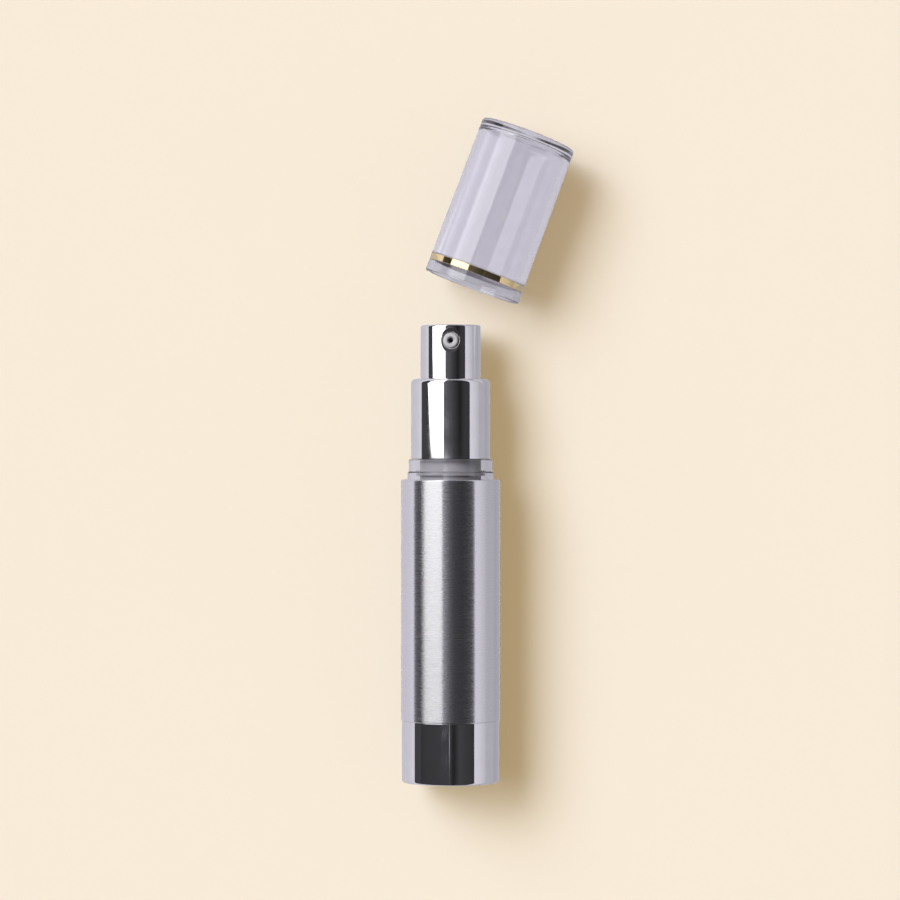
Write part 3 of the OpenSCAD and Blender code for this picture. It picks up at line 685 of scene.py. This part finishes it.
play = 0.03
outline = ring_outline(
    [(cap_r - groove_t + play, groove_low + play), (cap_r, groove_low + play),
     (cap_r, groove_high - play), (cap_r - groove_t + play, groove_high - play)],
    [0.03, 0.08, 0.08, 0.03],
)
start, end = np.flatnonzero(outline[:, 0] > cap_r - groove_t / 2)[[0, -1]]
outside, inside = outline[start : end + 1], np.vstack([outline[end:], outline[1 : start + 1]])
gold_ring = mesh_piece(
    "gold_ring",
    [turned(outside), turned(inside)],
    [gold_metal_finish(), bare_metal_finish()],
    laid_aside,
)
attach(gold_ring, "overcap")
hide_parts("cap_ring")

# ---- Table and studio ----
# The pair lies on a plain cream table. A soft light stands at the upper left, and dark and pale
# cards round the table give the polished metal its bands, as in any still-life studio.


def fresh(tree, strength):
    """That strength for a ray that has met no matt surface yet, and none for the others."""
    before = put(tree, "LightPath", {}).outputs["Diffuse Depth"]
    clean = put(tree, "Math", {0: before, 1: 0.5}, operation="LESS_THAN").outputs["Value"]
    return put(tree, "Math", {0: clean, 1: strength}, operation="MULTIPLY").outputs["Value"]


def card(name, corners, tones, axis="X", colour=(0.98, 0.955, 1.05)):
    """A flat studio card that only shines in what mirrors or lets light through. Its brightness follows
    tones, pairs of a place in metres along the axis and the brightness there."""
    finish = bpy.data.materials.new(name)
    finish.use_nodes = True
    tree = finish.node_tree
    tree.nodes.remove(tree.nodes["Principled BSDF"])
    where = put(tree, "SeparateXYZ", {0: put(tree, "TexCoord", {}).outputs["Object"]}).outputs[axis]
    first, last = tones[0][0], tones[-1][0]
    share = put(tree, "MapRange", {"Value": where, "From Min": first, "From Max": last}).outputs["Result"]
    ramp = put(tree, "ValToRGB", {"Fac": share})
    stops = ramp.color_ramp.elements
    while len(stops) < len(tones):
        stops.new(1.0)
    top = max(tone for _, tone in tones)
    for stop, (place, tone) in zip(stops, tones):
        stop.position = (place - first) / (last - first)
        stop.color = (tone / top, tone / top, tone / top, 1)
    tint = put(tree, "Mix", {"Factor": 1.0}, data_type="RGBA", blend_type="MULTIPLY")
    tree.links.new(ramp.outputs["Color"], tint.inputs[6])
    tint.inputs[7].default_value = (*colour, 1)
    glow = put(tree, "Emission", {"Color": tint.outputs[2], "Strength": fresh(tree, top)})
    tree.links.new(glow.outputs["Emission"], tree.nodes["Material Output"].inputs["Surface"])
    mesh = bpy.data.meshes.new(name)
    mesh.from_pydata(corners, [], [tuple(range(len(corners)))])
    mesh.materials.append(finish)
    flat = bpy.data.objects.new(name, mesh)
    bpy.context.scene.collection.objects.link(flat)
    for sight in ("camera", "diffuse", "shadow", "volume_scatter"):
        setattr(flat, "visible_" + sight, False)


table_z, table_half, cream = -sleeve_r * MM, 20.0, (0.94, 0.83, 0.69)
finish, tree, shader = new_finish("table")
mottle = shades(tree, noise(tree, 0.05), [c * 0.995 for c in cream], cream)
tree.links.new(mottle, shader.inputs["Base Color"])
shader.inputs["Roughness"].default_value = 1.0
shader.inputs["Specular IOR Level"].default_value = 0.0
mesh = bpy.data.meshes.new("table")
corners = table_half * np.array([(-1, -1), (1, -1), (1, 1), (-1, 1)])
mesh.from_pydata([(x, y, table_z) for x, y in corners], [], [(0, 1, 2, 3)])
mesh.materials.append(finish)
table = bpy.data.objects.new("table", mesh)
bpy.context.scene.collection.objects.link(table)

foot, roof, left, right, near, far = -0.0119, 1.2, -4.4, 1.9, -3.5, 4.5
paper_left, paper_right, light_edge, light_foot = -0.25, right + 0.1, -0.44, 0.0752


def level(z, x_low, x_high, y_low=near, y_high=far):
    """The corners of a level card at height z."""
    return [(x_low, y_low, z), (x_high, y_low, z), (x_high, y_high, z), (x_low, y_high, z)]


def upright(y):
    """The corners of a card that stands across the studio at y."""
    return [(left, y, foot), (right, y, foot), (right, y, roof), (left, y, roof)]


dark = [(left, 0.055), (paper_left, 0.055)]
card("dark_floor", level(foot, left, paper_left), dark)
card("dark_wall", [(left, near, foot), (left, far, foot), (left, far, roof), (left, near, roof)], dark)
card("ceiling", level(roof, left, right),
     [(left, 0.035), (-1.0, 0.045), (-0.05, 0.05), (0.15, 0.015), (0.45, 0.055), (0.9, 0.045),
      (right, 0.033)])
card("ceiling_glow", level(roof - 0.005, light_edge, right, light_foot),
     [(light_edge, 0.11), (-0.19, 0.095), (0.23, 0.045), (0.6, 0.015), (1.0, 0.04), (right, 0.045)])
card("sleeve_glow", level(roof - 0.003, -0.45, 0.45, -0.05, 0.07),
     [(-0.45, 2.1), (-0.38, 1.7), (-0.2, 1.1), (-0.126, 0.65), (0, 0.36), (0.165, 0.2), (0.3, 0.12),
      (0.45, 0.05)])
# A narrow glowing strip overhead stands in for the thin light line in the base cup's reflection.
card("base_line_glow", level(roof - 0.003, -0.07, -0.042, -0.1, -0.079), [(-0.07, 0.4), (-0.042, 0.4)])
# The softbox's lower edge rises towards its left end, which gives the light in the collar its slant.
light_left = -4.1
light_outline = [
    (light_edge, light_foot), (light_edge, far), (-2.6, far), (-2.6, 0.6), (-3.4, 0.4), (light_left, 0.3),
    (light_left, 0.222), (-3.2, 0.164), (-2.59, 0.115), (-2.0, 0.0804), (-1.75, 0.076), (-1.4, 0.0742),
    (-1.0, 0.0742),
]
card("soft_light_face", [(x, y, roof - 0.01) for x, y in light_outline],
     [(light_left, 2.1), (light_edge, 2.1)], colour=(1.0, 0.99, 1.0))
card("pale_card",
     [(right, near, roof), (right, far, roof), (paper_right, far, foot), (paper_right, near, foot)],
     [(foot, 0.53), (0.7, 0.68), (roof, 0.72)], axis="Z")
# The pale sheet glows rather than being lit, with painted light: it is brightest on the left, where the
# light falls, and has a painted shadow of the bottle just to its right, darkest at x = 0.03.
card("pale_paper_glow", level(foot, paper_left, paper_right),
     [(paper_left, 0.74), (-0.08, 0.69), (-0.02, 0.61), (0.03, 0.40), (0.043, 0.46), (paper_right, 0.52)])
# Two more glowing sheets lie on the pale one, below the overcap and to its left, each a little above the
# last. Both hold painted light: the one below the overcap is brighter left of x = -0.02 and darker to its
# right, and the strip along the overcap's left side glows brighter than the sheets under it.
slip, cap_paper_right = 0.0001, 0.08
card("cap_paper_glow",
     [(x, y, foot + slip) for x, y in
      ((paper_left, 0.221), (cap_paper_right, 0.098), (cap_paper_right, far), (paper_left, far))],
     [(paper_left, 0.88), (-0.02, 0.88), (-0.012, 0.64), (cap_paper_right, 0.6)])
strip = np.array([(-14.5, 5.5, 0), (-7.1, 5.5, 0), (-7.1, 38, 0), (-14.5, 38, 0)])
beside_cap = (strip @ cap_lean.T + cap_place) * MM
card("cap_left_glow", [(x, y, foot + 2 * slip) for x, y, _ in beside_cap], [(-0.02, 0.78), (0.02, 0.78)])
card("far_card", upright(far), [(left, 0.6), (right, 0.6)])
card("near_card", upright(near), [(left, 0.12), (right, 0.12)])

table_only = bpy.data.collections.new("table_only")
table_only.objects.link(table)
all_else = bpy.data.collections.new("all_else")
all_else.objects.link(table)
all_else.collection_objects[0].light_linking.link_state = "EXCLUDE"


def lamp(name, strength, colour, lights, tilt, lean, shadow=True):
    """A wide soft lamp from the upper left, that lights only what it is meant for and isn't mirrored. It
    stands tilt degrees beyond the part and lean degrees to its left, from straight above."""
    data = bpy.data.lights.new(name, "SUN")
    data.energy, data.angle, data.color, data.use_shadow = strength, 0.6, colour, shadow
    made = bpy.data.objects.new(name, data)
    bpy.context.scene.collection.objects.link(made)
    made.rotation_euler = (math.radians(-tilt), math.radians(-lean), 0)
    made.visible_glossy = made.visible_transmission = False
    made.light_linking.receiver_collection = lights


lamp("soft_light", 2.5, (1.0, 0.99, 1.0), all_else, tilt=18, lean=35)
# Two cool lamps give the table its long soft shadow, and a warm one that casts none tints it brown.
cool, warm = (0.513, 0.628, 0.832), (1.0, 0.836, 0.533)
lamp("table_light_high", 1.63, cool, table_only, tilt=12, lean=37.5)
lamp("table_light_low", 1.83, cool, table_only, tilt=29, lean=37.5)
lamp("table_fill", 1.995, warm, table_only, tilt=18, lean=35, shadow=False)

# The camera, mirrors and clear plastic see the world in the table's colour, and it lights the rest dimly.
dim = (0.10, 0.09, 0.07)
world = bpy.data.worlds.new("studio")
bpy.context.scene.world = world
world.use_nodes = True
tree = world.node_tree
back = tree.nodes["Background"]
ray = put(tree, "LightPath", {}).outputs
seen = put(tree, "Math", {0: ray["Is Camera Ray"], 1: ray["Is Glossy Ray"]}, operation="MAXIMUM")
seen = put(tree, "Math", {0: seen.outputs[0], 1: ray["Is Transmission Ray"]}, operation="MAXIMUM")
mix = put(tree, "Mix", {"Factor": fresh(tree, seen.outputs[0])}, data_type="RGBA")
mix.inputs[6].default_value = (*dim, 1)
mix.inputs[7].default_value = (*cream, 1)
tree.links.new(mix.outputs[2], back.inputs["Color"])

# The camera looks straight down on the pair, as in the photo.
lens = bpy.data.cameras.new("camera")
lens.lens, lens.sensor_width, lens.clip_start, lens.clip_end = 140.3, 36.0, 0.05, 100.0
camera = bpy.data.objects.new("camera", lens)
camera.location = (-0.00015, 0.0804, 0.85)
bpy.context.scene.collection.objects.link(camera)
bpy.context.scene.camera = camera
bpy.context.scene.view_settings.view_transform = "Standard"
